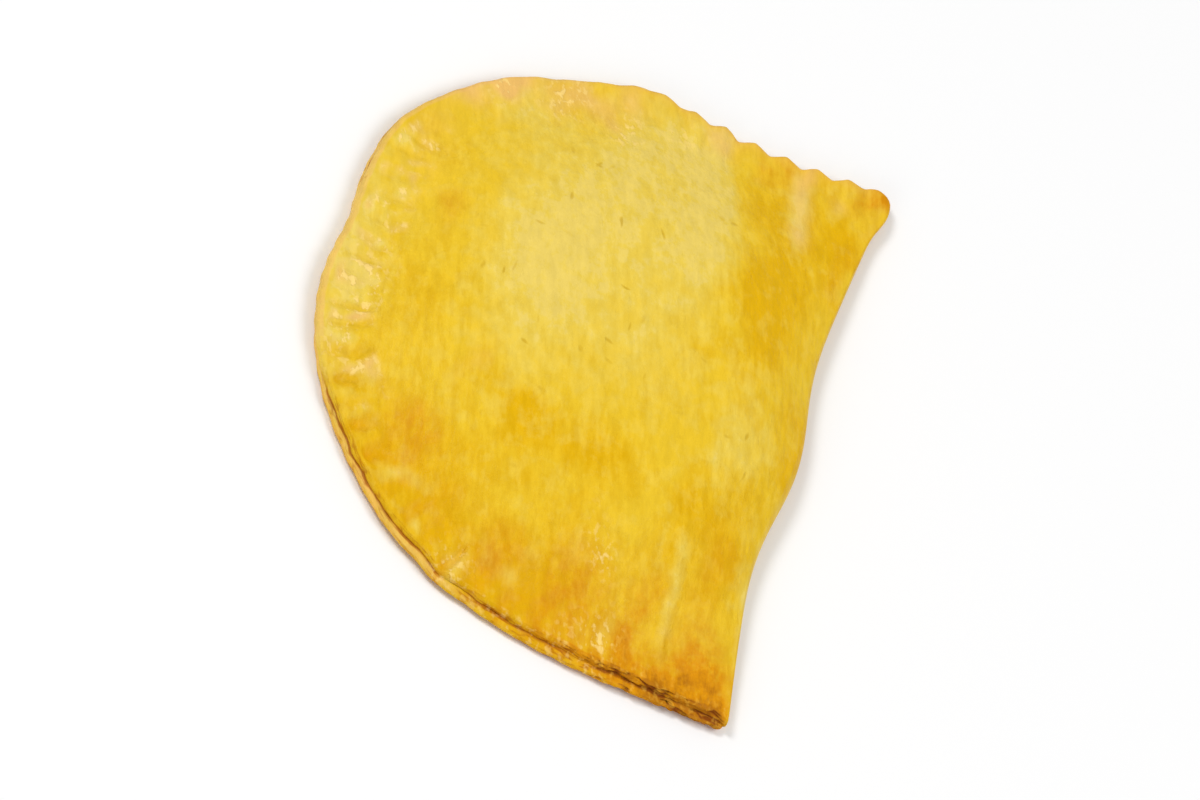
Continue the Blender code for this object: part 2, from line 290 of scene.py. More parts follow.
def evenly(points, step):
    """The polyline's points again, at equal steps along it."""
    run = np.append(0.0, np.cumsum(np.hypot(*np.diff(points, axis=0).T)))
    at = np.linspace(0.0, run[-1], max(2, round(run[-1] / step)) + 1)
    return np.column_stack([np.interp(at, run, points[:, k]) for k in (0, 1)])


def outward(points):
    """Unit directions out of an outline that runs anticlockwise, at each of its points."""
    run = np.gradient(points, axis=0)
    return np.column_stack((run[:, 1], -run[:, 0])) / np.hypot(*run.T)[:, None]


def wobbled(curve):
    """The curved edge with its WOBBLES."""
    places = np.linspace(0.0, 1.0, len(curve))
    out = np.zeros(len(curve))
    for place, spread, distance in WOBBLES:
        out += distance * np.exp(-(((places - place) / spread) ** 2))
    return curve + outward(curve) * out[:, None]


def plan():
    """(points, places): the closed outline, and each point's place along it. Places run from 0 to 1 along
    the curved edge, from +X to -X, and on from 1 to 2 along the fold."""
    plus = half_curve(APEX_X, **PLUS_X_HALF)
    minus = half_curve(-APEX_X, **MINUS_X_HALF)[::-1] * (-1, 1)
    curve = wobbled(evenly(np.vstack((plus, minus[1:])), PLAN_STEP))
    fold = evenly(fold_line(), PLAN_STEP)
    points = np.vstack((curve[:-1], fold[:-1]))
    places = np.append(
        np.linspace(0.0, 1.0, len(curve) - 1, endpoint=False),
        np.linspace(1.0, 2.0, len(fold) - 1, endpoint=False),
    )
    reach = round(CORNER_SMOOTHING / PLAN_STEP)
    shifted = [np.roll(points, k, axis=0) for k in range(-reach, reach + 1)]
    return np.mean(shifted, axis=0), places


PLAN, PLACES = plan()
CURVE = PLAN[PLACES < 1]
CURVE_PLACES = PLACES[PLACES < 1]
FOLD = PLAN[PLACES >= 1]
FOLD_PLACES = PLACES[PLACES >= 1]
CURVE_LENGTH = len(CURVE) * PLAN_STEP


def crimp_phases():
    """The number of crimps passed at each point of CURVE, ending on a whole number."""
    dip = np.exp(-(((CURVE_PLACES - CLOSE_PITCH_AT) / CLOSE_PITCH_SPREAD) ** 2))
    passed = np.cumsum(1 / (CRIMP_PITCH * (1 - CLOSE_PITCH_SHARE * dip)))
    passed *= CURVE_LENGTH / len(CURVE)
    passed -= passed[0]
    return passed * round(passed[-1]) / passed[-1]


PHASES = crimp_phases()
CRIMPS = round(PHASES[-1])
DRAW = random.Random(CRIMP_SEED)


def drawn(spread):
    """One even draw from -spread to spread for each crimp, and one more."""
    return np.array([DRAW.uniform(-spread, spread) for _ in range(CRIMPS + 1)])


CRIMP_SHARES = 1 + drawn(CRIMP_UNEVENNESS)
CRIMP_ASIDE = drawn(CRIMP_JITTER)
CRIMP_LEAN = drawn(CRIMP_SLANT)
CRIMP_LONGER = drawn(CRIMP_END_SPREAD)


def along(values, places):
    """A property listed in step with ALONG, read at places on the curved edge."""
    return np.interp(places, ALONG, values)


def marked(pairs, places):
    """A property given as (place, value) pairs, read at places on the curved edge."""
    return np.interp(places, *np.array(pairs).T)


LEDGES = along(LEDGE, CURVE_PLACES) * np.array(
    [
        1 + LEDGE_UNEVENNESS * noise.noise((place * CURVE_LENGTH / LEDGE_WAVE, *LEDGE_SEED))
        for place in CURVE_PLACES
    ]
)


def ledge_at(places):
    """How far the lower sheet reaches out beyond the upper one at places on the curved edge."""
    return np.interp(places, CURVE_PLACES, LEDGES)


def outline_at(places):
    """Points of the smooth outline, and the unit directions out of it, at places from 0 to 2."""
    wrapped = np.vstack((PLAN, PLAN[:1]))
    marks = np.append(PLACES, 2.0)
    points = np.column_stack([np.interp(places, marks, wrapped[:, k]) for k in (0, 1)])
    out = outward(wrapped)
    return points, np.column_stack([np.interp(places, marks, out[:, k]) for k in (0, 1)])


def nearest(points, line, marks):
    """(distance, mark) of the closest point of a fine line to each of points, read between its points."""
    gap = np.hypot(points[:, None, 0] - line[None, :, 0], points[:, None, 1] - line[None, :, 1])
    index = gap.argmin(axis=1)
    run = np.gradient(line, axis=0)
    step = np.hypot(*run.T)[index]
    run = run[index] / step[:, None]
    offset = points - line[index]
    past = np.clip((offset * run).sum(axis=1), -step, step)
    distance = np.hypot(*(offset - run * past[:, None]).T)
    mark = marks[index] + np.gradient(marks)[index] * past / step
    return distance, np.clip(mark, marks[0], marks[-1])


def ease(share):
    """A smooth step from 0 to 1."""
    share = np.clip(share, 0.0, 1.0)
    return share * share * (3 - 2 * share)


def rising(value, start, run):
    """A smooth step up, from 0 at start to 1 a run further on."""
    return ease((value - start) / run)


def falling(value, end, run):
    """A smooth step down, from 1 a run before end to 0 at end."""
    return ease((end - value) / run)


def bell(value, spread):
    """1 where the value is 0, fading over this spread to both sides."""
    return np.exp(-((value / spread) ** 2))


def grain(points, size, seed):
    """Smooth noise of about -1 to 1 over plan points, with features of this size."""
    return np.array([noise.noise((x / size, y / size, seed)) for x, y in points])


def from_segment(points, start, end):
    """(distance, share of the way along) of plan points to a straight segment."""
    start, run = np.array(start), np.array(end) - np.array(start)
    share = np.clip(((points - start) @ run) / (run @ run), 0.0, 1.0)
    gap = points - start - share[:, None] * run
    return np.hypot(*gap.T), share


def dome_share(points, from_curve, from_fold):
    """Share of the dome's full height over plan points, from 0 on the crimped rim to 1 in the middle."""
    past = from_curve - DOME_START
    past = (past + np.hypot(past, DOME_START_SOFTNESS)) / 2
    rise = 1 - (1 - np.clip(past / DOME_RUN, 0.0, 1.0)) ** DOME_FULLNESS
    ear_run = np.where(points[:, 0] > 0, PLUS_EAR_RUN, MINUS_EAR_RUN)
    run = FOLD_RUN + ear_run * np.abs(points[:, 0] / CORNER_X) ** 1.5
    reached = np.clip((from_fold + FOLD_ROLL) / (run + FOLD_ROLL), 0.0, 1.0)
    return rise * (1 - (1 - reached) ** FOLD_FULLNESS)


def pressed(points, place, inside):
    """(how deep each spot is pressed, how near it is to the bottom line of its mark), for its place on the
    curve and its distance in from the sheet's edge."""
    crimp = np.arange(CRIMPS + 1)
    phase = np.interp(place, CURVE_PLACES, PHASES)
    end = along(CRIMP_END, place)
    inside = inside + CRIMP_END_WAVE * grain(points, size=0.0036, seed=43.5)
    wander = CRIMP_WANDER * grain(points, size=0.0048, seed=41.5)
    phase = phase + np.interp(phase, crimp, CRIMP_ASIDE) + wander
    phase = phase + np.interp(phase, crimp, CRIMP_LEAN) * inside / end
    end = end + np.interp(phase, crimp + 0.5, CRIMP_LONGER)
    trough = np.clip(0.5 - 0.5 * np.cos(2 * math.pi * phase), 0.0, 1.0) ** along(CRIMP_SHARPNESS, place)
    depth = np.interp(phase, crimp + 0.5, CRIMP_SHARES) * along(CRIMP_STRENGTH, place)
    begun = rising(inside, along(CRIMP_START, place), CRIMP_RISE)
    reach = (CRIMP_EDGE_SHARE + (1 - CRIMP_EDGE_SHARE) * begun) * (1 - rising(inside, end, CRIMP_FALL))
    lip = CRIMP_LIP / CRIMP_DEPTH * bell(inside - end - CRIMP_FALL, CRIMP_LIP_RUN)
    line = rising(trough, CRIMP_LINE_FROM, 1 - CRIMP_LINE_FROM)
    return trough * depth * (reach - lip), line * np.clip(depth, 0, 1) * reach


def step_side(points):
    """Distance of plan points beyond STEP_LINE towards the fold, negative on the filled side."""
    x, y = np.array(STEP_LINE).T
    return np.interp(points[:, 0], x, y) - points[:, 1]


def top(points):
    """Facts of the top surface over plan points: height, distance in from the top sheet's edge, distance from
    the fold, place on the curve, how far it is pressed, and the bottom lines of the marks."""
    from_curve, place = nearest(points, CURVE, CURVE_PLACES)
    from_fold, _ = nearest(points, FOLD, FOLD_PLACES)
    inside = np.maximum(from_curve - ledge_at(place), 0.0)
    rise = dome_share(points, from_curve, from_fold)
    height = RIM_HEIGHT + (DOME_HEIGHT - RIM_HEIGHT) * rise
    filled = np.clip(rise * 2, 0.0, 1.0)
    for x, y, radius, swell in SWELLS:
        away = np.hypot(points[:, 0] - x, points[:, 1] - y) / radius
        height += swell * np.exp(-(away**2)) * filled
    for x0, y0, x1, y1, width, rises in WRINKLES:
        away, share = from_segment(points, (x0, y0), (x1, y1))
        ends = ease(np.minimum(share, 1 - share) * 4 + 0.25)
        height += rises * bell(away, width) * ends
    beyond = step_side(points)
    stepped = falling(points[:, 0], STEP_END_X, STEP_END_RUN) * rising(beyond, -STEP_RUN / 2, STEP_RUN)
    height -= STEP_DROP * stepped * bell(np.maximum(beyond, 0), STEP_REACH)
    press, line = pressed(points, place, inside)
    press *= ease(from_fold / CRIMP_FROM_FOLD)
    height -= CRIMP_DEPTH * press
    waves = sum(rises * grain(points, size, seed) for rises, size, seed in WAVES)
    height += waves * ease(inside / WAVES_FROM_EDGE) * ease(from_fold / WAVES_FROM_FOLD)
    return height, inside, from_fold, place, press, line


def ring_places():
    """Places of the ring's samples: a whole number for each crimp, then the fold."""
    wanted = np.arange(CRIMPS * SAMPLES_PER_CRIMP) / SAMPLES_PER_CRIMP
    curve = np.interp(wanted, PHASES, CURVE_PLACES)
    fold = np.linspace(1.0, 2.0, FOLD_SAMPLES, endpoint=False)
    return np.append(curve, fold)


def scallops(places):
    """How far the edge stands out of the smooth outline at places on the ring."""
    place = np.clip(places, 0.0, 1.0)
    phase = np.interp(place, CURVE_PLACES, PHASES)
    ripple = np.cos(2 * math.pi * (phase + SCALLOP_SHIFT))
    shelf = SHELF_HEIGHT * 2 / math.pi * np.arcsin(SHELF_SHARPNESS * ripple)
    to_corner = np.minimum(place, 1 - place)
    wave = ripple + (shelf - ripple) * rising(place, SHELF_FROM, SHELF_RUN)
    return along(SCALLOP, place) * wave * ease(to_corner / CORNER_SHARE) * np.where(places >= 1, 0, 1)


def fold_share(places):
    """1 along the fold and 0 along the open curve, blended at the corners."""
    fold_length = len(FOLD) * PLAN_STEP
    past = np.where(
        places < 1,
        -np.minimum(places, 1 - places) * CURVE_LENGTH,
        np.minimum(places - 1, 2 - places) * fold_length,
    )
    return ease(0.5 + past / (2 * CORNER_BLEND))


def wall_noise(places, shares, length, layers, seed):
    """Noise over the wall, with features of this length along it and so many over its height."""
    return np.array(
        [noise.noise((p * CURVE_LENGTH / length, s * layers, seed)) for p, s in zip(places, shares)]
    )


def wall_noises(places, shares, parts):
    """The sum of the noises over the wall that parts lists."""
    return sum(strength * wall_noise(places, shares, *shape) for strength, *shape in parts)


def wall_levels(ledge, opening):
    """(share of the wall's height, inset, gap) arrays for each level of the open edge, from the base up: the
    lower sheet's wall, its ledge, the gap, and the upper sheet's wall. Both walls have rounded edges."""
    one = np.ones_like(ledge)
    levels = []
    for share in np.linspace(0.0, 1.0, LOWER_LEVELS):
        rounded = max(0.0, share - LOWER_ROUND_FROM) ** 2 / 0.2
        inset = BASE_ROUNDING * (1 - share) ** 3 + LOWER_ROUNDING * rounded
        levels.append((LOWER_TOP_SHARE * share * one, inset * one, 0 * one))
    closed = 1 - opening
    for share in np.linspace(0.0, 1.0, LEDGE_LEVELS + 1)[1:]:
        inset = LOWER_ROUNDING + (ledge + GROOVE_DEPTH * opening - LOWER_ROUNDING) * share
        height = LOWER_TOP_SHARE + (SEAM_SHARE - LOWER_TOP_SHARE) * share**2
        height += closed * share**2 * CLOSED_RISE
        levels.append((height, inset, rising(share, 0.35, 0.5) * opening))
    for share in np.linspace(0.0, 1.0, SEAM_LEVELS + 1)[1:-1]:
        inset = ledge + GROOVE_DEPTH * opening * (1 - share) ** 1.3
        height = SEAM_SHARE + (UPPER_FROM_SHARE - SEAM_SHARE) * share + closed * CLOSED_RISE * (1 - share)
        levels.append((height, inset, (1 - share * 0.5) * opening))
    for share in np.linspace(0.0, 1.0, UPPER_LEVELS):
        inset = UPPER_FOOT_ROUNDING * (1 - share) ** 2 + UPPER_ROUNDING * share**1.8
        height = UPPER_FROM_SHARE + (1 - UPPER_FROM_SHARE) * (1 - (1 - share) ** 1.6)
        levels.append((height * one, ledge + inset, 0.5 * (1 - share) ** 4 * opening))
    return levels


def wall(places, ledge, thickness):
    """The levels of the wall with its flaky layers, turning into the fold's nose at the corners."""
    opening = marked(SEAM_OPEN, places)
    broken = wall_noise(places, 0 * places, length=0.006, layers=1, seed=13.3)
    opening *= np.clip(0.75 + 0.9 * broken, 0.15, 1.0)
    tip = falling(places, TIP_END, TIP_RUN) * (places < 1)
    fold = fold_share(places)
    radius = thickness / (1 + math.sin(NOSE_TO))
    levels = wall_levels(ledge, opening)
    parted = marked(PARTED, places)
    made = []
    for step, (share, inset, gap) in enumerate(levels):
        rise = step / (len(levels) - 1)
        whole_share = 1 - (1 - rise) ** WHOLE_BULGE
        whole_inset = BASE_ROUNDING * (1 - rise) ** 3 + (ledge + UPPER_ROUNDING) * rise**3
        share = whole_share + (share - whole_share) * parted
        inset = whole_inset + (inset - whole_inset) * parted
        flakes = wall_noises(places, share, FLAKES)
        crack = wall_noises(places, share + inset / SHEET_RUN, CRACKS)
        layer = np.clip(1 - np.abs(crack) / LAYER_WIDTH, 0, 1)
        ends = min(1.0, step / 2, (len(levels) - 1 - step) / 3)
        shift = flakes * (FLAKE_DEPTH + (TIP_FLAKE_DEPTH - FLAKE_DEPTH) * tip)
        shift += TIP_FLAKE_DEPTH * tip * (layer - LAYER_MEAN)
        shift *= ends
        gap = np.clip(gap + (tip + FAINT_LAYERS * (1 - tip) * parted) * layer * ends, 0.0, 1.0)
        angle = NOSE_FROM + (NOSE_TO - NOSE_FROM) * rise
        nose_share = (1 + math.sin(angle)) / (1 + math.sin(NOSE_TO))
        nose_inset = radius * (1 - math.cos(angle))
        inset = inset + shift
        share = share + (nose_share - share) * fold
        made.append((share, inset + (nose_inset - inset) * fold, gap * (1 - fold)))
    return made


def rows():
    """Closed rings of samples from the base out, up the wall, and in to the top of the dome.

    Each sample is x, y, z, place, distance in from the top sheet's edge, distance from the fold, press, line,
    part (0 on top, 1 and 2 on the lower and upper sheets' walls, -1 on the base), gap, share of the wall's
    height."""
    places = ring_places()
    smooth, out = outline_at(places)
    points = smooth + out * scallops(places)[:, None]
    inward = CENTRE - points
    reach = np.hypot(*inward.T)
    inward /= reach[:, None]
    ledge = ledge_at(np.clip(places, 0.0, 1.0))
    lift = RIM_LIFT + RIM_LIFT_WAVE * np.sin(2 * math.pi * RIM_LIFT_WAVES * places)
    zero = 0 * lift

    def at(inset, skip=1):
        return (points + inward * inset[:, None])[::skip]

    edge_top, _, edge_fold, _, edge_press, edge_line = top(at(ledge + UPPER_ROUNDING))
    thickness = edge_top - lift
    made = []

    def base_row(inset, height, skip):
        flat = at(inset, skip)
        blank = np.zeros(len(flat))
        facts = (flat, height, places[::skip], blank, blank, blank, blank, blank - 1, blank, blank)
        made.append(np.column_stack(facts))

    for share, skip in BASE_ROWS:
        inset = BASE_FLAT_INSET + (reach - BASE_FLAT_INSET) * (1 - share)
        base_row(inset, zero[::skip], skip)
    for share in BASE_EDGE_ROWS:
        inset = BASE_FLAT_INSET + (BASE_ROUNDING - BASE_FLAT_INSET) * share
        base_row(inset + zero, lift * share**3, 1)
    for share, inset, gap in wall(places, ledge, thickness):
        sheet = np.where(share < SEAM_SHARE, 1, 2)
        height = lift + thickness * share
        facts = (at(inset), height, places, zero, edge_fold, edge_press, edge_line, sheet, gap, share)
        made.append(np.column_stack(facts))

    def top_row(inset, skip):
        flat = at(inset, skip)
        height, inside, from_fold, place, press, line = top(flat)
        blank = np.zeros(len(flat))
        facts = (flat, height, place, inside, from_fold, press, line, blank, blank, blank + 1)
        made.append(np.column_stack(facts))

    start = ledge + UPPER_ROUNDING
    for k in range(1, BAND_RINGS + 1):
        top_row(start + BAND_END * k / BAND_RINGS, 1)
    band_end = start + BAND_END
    for k in range(1, DOME_RINGS):
        share = k / DOME_RINGS
        skip = next(skip for limit, skip in DOME_SKIPS if share < limit)
        top_row(band_end + (reach - band_end) * share, skip)
    return made


def faces_between(outer, inner):
    """Faces between two rings of vertex numbers, of which one may hold one for every few of the other's."""
    if len(outer) < len(inner):
        return [face[::-1] for face in faces_between(inner, outer)]
    skip = len(outer) // len(inner)
    faces = []
    for i, corner in enumerate(inner):
        following = inner[(i + 1) % len(inner)]
        run = [outer[(i * skip + k) % len(outer)] for k in range(skip + 1)]
        half = skip // 2
        faces += [(first, second, corner) for first, second in zip(run[:half], run[1 : half + 1])]
        faces += [(first, second, following) for first, second in zip(run[half:-1], run[half + 1 :])]
        faces.append((run[half], following, corner))
    return faces


def blob(points, x, y, spread_x, spread_y):
    """A soft patch of 1 at x, y that fades over the two spreads."""
    return np.exp(-(((points[:, 0] - x) / spread_x) ** 2) - ((points[:, 1] - y) / spread_y) ** 2)


# Patches of tone on the top: x, y, spread along x, spread along y, strength. The pale and pink ones are
# partly the crust's own tone and partly painted sheen.
PALE_PATCHES = (
    (-0.012, 0.072, 0.028, 0.013, 1.2),
    (-0.030, 0.052, 0.030, 0.017, 0.8),
    (-0.035, 0.038, 0.024, 0.0080, 0.8),
    (-0.060, 0.046, 0.012, 0.012, 0.7),
    (-0.048, 0.060, 0.012, 0.007, 0.5),
    (0.004, 0.046, 0.012, 0.016, 0.4),
    (0.010, 0.018, 0.011, 0.007, 0.8),
    (-0.045, 0.080, 0.016, 0.010, 0.25),
    (0.004, 0.111, 0.036, 0.006, 1.0),
    (-0.0660, 0.0085, 0.004, 0.0035, 1.1),
    (-0.0630, 0.0120, 0.006, 0.0040, 0.8),
    (-0.052, 0.088, 0.007, 0.010, 0.7),
    (-0.066, 0.038, 0.006, 0.004, 0.7),
    (0.040, 0.0075, 0.006, 0.002, 0.6),
    (0.064, 0.034, 0.004, 0.003, 0.5),
    (0.064, 0.068, 0.004, 0.004, 0.7),
    (0.053, 0.052, 0.008, 0.006, 0.25),
)
GOLD_PATCHES = (
    (0.030, 0.046, 0.009, 0.008, 1.1),
    (0.029, 0.064, 0.009, 0.009, 1.35),
    (-0.032, 0.020, 0.028, 0.0085, 1.9),
    (0.004, 0.005, 0.012, 0.005, 1.6),
    (-0.050, 0.0080, 0.012, 0.004, 1.4),
    (-0.0685, 0.0145, 0.003, 0.003, 0.6),
    (0.062, 0.054, 0.012, 0.020, 1.4),
    (0.048, 0.085, 0.018, 0.016, 1.0),
    (0.036, 0.015, 0.020, 0.010, 0.9),
    (0.033, 0.0255, 0.014, 0.005, 0.8),
    (0.006, 0.096, 0.032, 0.009, 0.3),
    (0.024, 0.099, 0.013, 0.009, 0.35),
)
BROWN_PATCHES = (
    (-0.0705, 0.0025, 0.004, 0.003, 0.7),
    (-0.046, 0.0065, 0.010, 0.003, 0.25),
    (-0.066, 0.026, 0.005, 0.003, 0.5),
    (0.064, 0.030, 0.010, 0.034, 0.20),
    (0.070, 0.0045, 0.005, 0.005, 1.6),
    (0.063, 0.0115, 0.008, 0.0055, 0.95),
    (0.062, 0.0275, 0.011, 0.0035, 0.75),
    (0.040, 0.015, 0.012, 0.004, 0.3),
    (0.059, 0.044, 0.011, 0.008, 0.5),
    (0.057, 0.062, 0.006, 0.005, 0.5),
    (0.052, 0.077, 0.005, 0.005, 0.3),
    (0.037, 0.088, 0.004, 0.004, 0.6),
    (0.045, 0.087, 0.005, 0.004, 0.5),
    (0.0675, 0.0185, 0.004, 0.006, 0.6),
    (-0.0655, 0.0040, 0.004, 0.003, 0.3),
    (-0.016, 0.094, 0.004, 0.003, 0.4),
    (0.020, 0.080, 0.005, 0.003, 0.2),
)
PINK_PATCHES = (
    (-0.053, 0.0915, 0.0045, 0.0045, 1.6),
    (-0.0575, 0.0845, 0.004, 0.006, 1.1),
    (-0.060, 0.076, 0.0045, 0.006, 1.7),
    (-0.049, 0.099, 0.004, 0.004, 0.8),
    (-0.062, 0.063, 0.006, 0.005, 0.8),
    (-0.068, 0.038, 0.004, 0.005, 0.6),
    (-0.066, 0.0095, 0.003, 0.003, 0.6),
    (-0.0655, 0.0195, 0.004, 0.002, 0.5),
    (0.070, 0.004, 0.003, 0.003, 0.7),
    (-0.035, 0.1015, 0.010, 0.005, 0.25),
)
# Clusters of small pale specks, where the top sheet has begun to flake.
SPECK_PATCHES = (
    (0.066, 0.034, 0.005, 0.006, 1.15),
    (0.064, 0.069, 0.005, 0.005, 1.0),
    (0.049, 0.041, 0.005, 0.004, 1.0),
    (0.008, 0.106, 0.010, 0.003, 0.8),
    (0.022, 0.109, 0.012, 0.003, 0.8),
    (-0.053, 0.0915, 0.0045, 0.0035, 1.5),
    (-0.058, 0.0755, 0.005, 0.005, 1.4),
    (-0.0565, 0.061, 0.005, 0.004, 1.2),
    (-0.062, 0.048, 0.004, 0.004, 0.6),
)
# Pale streaks along folds in the sheet: from x, y to x, y, half width, strength.
PALE_STREAKS = (
    (0.034, 0.0250, 0.066, 0.0195, 0.0015, 0.80),
    (-0.069, 0.0205, -0.044, 0.0168, 0.0024, 1.15),
    (0.030, 0.0300, 0.050, 0.0275, 0.0008, 0.35),
    (0.008, 0.0250, 0.028, 0.0200, 0.0010, 0.4),
)

PATCHES = {
    "pale": PALE_PATCHES,
    "gold": GOLD_PATCHES,
    "brown": BROWN_PATCHES,
    "pink": PINK_PATCHES,
    "specks": SPECK_PATCHES,
}
PATCH_DRIFT = 0.0035  # how far noise moves the patches' edges about
STREAK_DRIFT = 0.0004
STEP_DRIFT = 0.0008
# Stretches of tone: start, run over which it comes in, where it begins to fade, run over which it fades. The
# first two are places on the curve, the next two distances in from the edge, and the others places again.
APEX = (0.33, 0.06, 0.60, 0.06)
PLUS_FLANK = (0.16, 0.05, 0.34, 0.06)
MARK_BAND = (0.0012, 0.0025, 0.0100, 0.0035)
RIDGE_BAND = (0.0008, 0.0020, 0.0080, 0.0050)
TAN_LIP = (0.20, 0.10, 0.40, 0.06)
LIP_TOP = (0.18, 0.08, 0.40, 0.04)
CLOSED_WALL = (0.40, 0.04, 0.70, 0.10)
CLOSED_LIP = (0.40, 0.04, 0.62, 0.10)

# The columns that rows() describes, with up for the share of the wall's height
Facts = namedtuple("Facts", "points place inside from_fold press line part gap up")


def within(value, start, run_in, end, run_out):
    """1 from start to end, coming in over one run and fading over the other."""
    return rising(value, start, run_in) * (1 - rising(value, end, run_out))


def drift(points):
    """A noise in both directions of the plan, which gives patches and streaks uneven edges."""
    wide = np.column_stack([grain(points, 0.009, seed) for seed in (21.5, 31.5)])
    close = np.column_stack([grain(points, 0.0035, seed) for seed in (23.5, 33.5)])
    return wide + 0.5 * close


def patchwork(points, patches):
    """The sum of the patches over plan points."""
    total = np.zeros(len(points))
    for x, y, spread_x, spread_y, strength in patches:
        total += strength * blob(points, x, y, spread_x, spread_y)
    return total


def streak_tones(made, at, drifts):
    """The -X ear is less pale than the filled side, and pale streaks run along the sheet's folds."""
    x = at.points[:, 0]
    beyond = step_side(at.points + STEP_DRIFT * drifts)
    made["pale"] *= 1 - 0.8 * rising(beyond, -0.0012, 0.0030) * falling(x, -0.002, 0.012)
    for x0, y0, x1, y1, width, strength in PALE_STREAKS:
        away, share = from_segment(at.points + STREAK_DRIFT * drifts, (x0, y0), (x1, y1))
        streak = strength * bell(away, width) * ease(np.minimum(share, 1 - share) * 3 + 0.1)
        made["pale"] += streak
        made["pink"] += 0.6 * streak * (x < 0)


def crimp_tones(made, at):
    """Round the apex the ridges between the crimp marks get a painted highlight: pale, pinkish and specked
    with painted glints. The marks get painted shade along their bottom lines. On the +X flank the ridges get
    a painted highlight in places, and the marks are golden, partly painted shade."""
    on_top = at.part == 0
    raised = np.clip(1 - 1.8 * at.press, 0, 1)
    apex = within(at.place, *APEX) * on_top
    band = within(at.inside, *MARK_BAND)
    # painted highlight and glints on the crimp ridges round the apex, carried by the pale, pink and speck
    # tones
    ridge_highlight = raised * apex * band * np.clip(0.35 + 1.6 * grain(at.points, 0.0030, 51.5), 0, 1.5)
    made["pale"] += 0.7 * ridge_highlight
    made["pink"] *= np.clip(0.85 + 0.9 * grain(at.points, 0.0055, 61.5), 0.3, 1.5)
    made["pink"] += ridge_highlight * np.clip(0.5 + 1.2 * grain(at.points, 0.005, 53.5), 0, 1)
    made["specks"] += 1.35 * ridge_highlight
    flank = within(at.place, *PLUS_FLANK) * on_top
    # painted highlight on the ridges of the +X flank
    between = raised * flank * within(at.inside, *RIDGE_BAND)
    made["pale"] += 0.75 * between * np.clip(0.1 + 1.8 * grain(at.points, 0.0048, 57.5), 0, 1.2)
    # golden in the marks of the +X flank: browned crust and partly painted shade
    made["gold"] += 0.5 * flank * band * np.clip(at.press, 0, 1)
    broken = np.clip(0.35 + 1.5 * grain(at.points, 0.0026, 55.5), 0, 1)
    # painted shade along the bottom lines of the crimp marks round the apex
    made["mark_bottom_shade"] = at.line * apex * band * broken
    # golden near the edge from browning, and in the pressed marks away from the apex, partly painted shade
    made["gold"] += np.exp(-at.inside / 0.008) * (0.2 + 0.45 * at.press * (1 - apex))


def rim_tones(made, at):
    """The rim is browned towards the +X corner, the scallops near the -X corner are pinkish, and the whole
    top is a little more golden towards +X."""
    made["gold"] += 0.25 * rising(at.points[:, 0], 0.005, 0.06) - 0.13
    plus_side = falling(at.place, 0.5, 0.2) * (at.place < 1) * (at.part >= 0)
    made["brown"] += np.exp(-at.inside / 0.006) * plus_side * (0.10 + 0.5 * at.press)
    teeth = rising(at.place, 0.76, 0.05) * (at.place < 1) * np.exp(-at.inside / 0.0016)
    made["brown"] += 0.18 * teeth
    made["pink"] += 0.50 * teeth


def fold_tones(made, at):
    """The roll of the fold gets a painted highlight along its top, is browned at the -X ear, and is golden to
    brown underneath.
    """
    x = at.points[:, 0]
    # painted highlight along the top of the fold's roll
    roll = bell(at.from_fold - 0.0009, 0.0009) * (at.part >= 0)
    made["pale"] += 0.55 * roll * rising(x, 0.002, 0.012) * falling(x, 0.064, 0.008)
    made["brown"] += 0.20 * bell(at.from_fold, 0.0032) * falling(x, -0.048, 0.012)
    nose = (at.part > 0) * fold_share(at.place)
    made["gold"] += 0.45 * nose * falling(at.up, 0.80, 0.50)
    made["brown"] += nose * (0.10 + 0.55 * falling(at.up, 0.42, 0.36))


def wall_tones(made, at):
    """The open edge: browned near the +X corner, darker along its foot from browning and a painted shadow, a
    tan lip with a paler top, and paler and pinker where the sheets are baked together, partly painted light
    that lifts the wall's shade."""
    open_wall = np.clip(at.part, 0, 1) * (1 - fold_share(at.place))
    lower = open_wall * (at.part == 1)
    near_tip = falling(at.place, 0.20, 0.14)
    lower_brown = 0.65 + 0.9 * falling(at.place, 0.09, 0.06)
    made["brown"] += open_wall * near_tip * np.where(at.part == 1, lower_brown, 1.3)
    # browner along the foot of the lower sheet: browned crust and a painted shadow where it meets the floor
    made["brown"] += 1.3 * lower * falling(at.up, 0.26, 0.22) * (0.3 + 0.7 * near_tip)
    made["gold"] += 0.5 * lower * near_tip
    made["specks"] += 0.45 * open_wall * falling(at.place, 0.26, 0.1)
    # dark in the gaps between the sheets and between the baked layers: browned crust and painted shade in the
    # gaps
    made["seam"] = at.gap
    # paler and pinker where the sheets are baked together: partly the crust's own tone, partly painted light
    # that lifts the wall's shade
    closed = open_wall * within(at.place, *CLOSED_WALL)
    made["pale"] += 0.45 * closed
    made["pink"] += 0.50 * closed
    lip_top = lower * rising(at.up, 0.38, 0.08) * within(at.place, *LIP_TOP)
    streaky = wall_noise(at.place, at.up, length=0.009, layers=6, seed=63.5)
    # tan lip of the lower sheet, and a tan tint on the closed wall that partly lifts its shade
    made["lip"] = lower * within(at.place, *TAN_LIP) + 0.45 * open_wall * within(at.place, *CLOSED_LIP)
    made["lip"] *= 1 - lip_top * np.clip(0.45 + 1.2 * streaky, 0, 0.9)
    made["pale"] += 0.8 * lip_top
    made["pink"] += 0.8 * lip_top * np.clip(0.6 - 1.2 * streaky, 0.2, 1)
    frayed = near_tip * np.exp(-at.inside / 0.0025) * (at.part == 0)
    made["brown"] += 0.85 * frayed
    made["specks"] += 0.5 * frayed


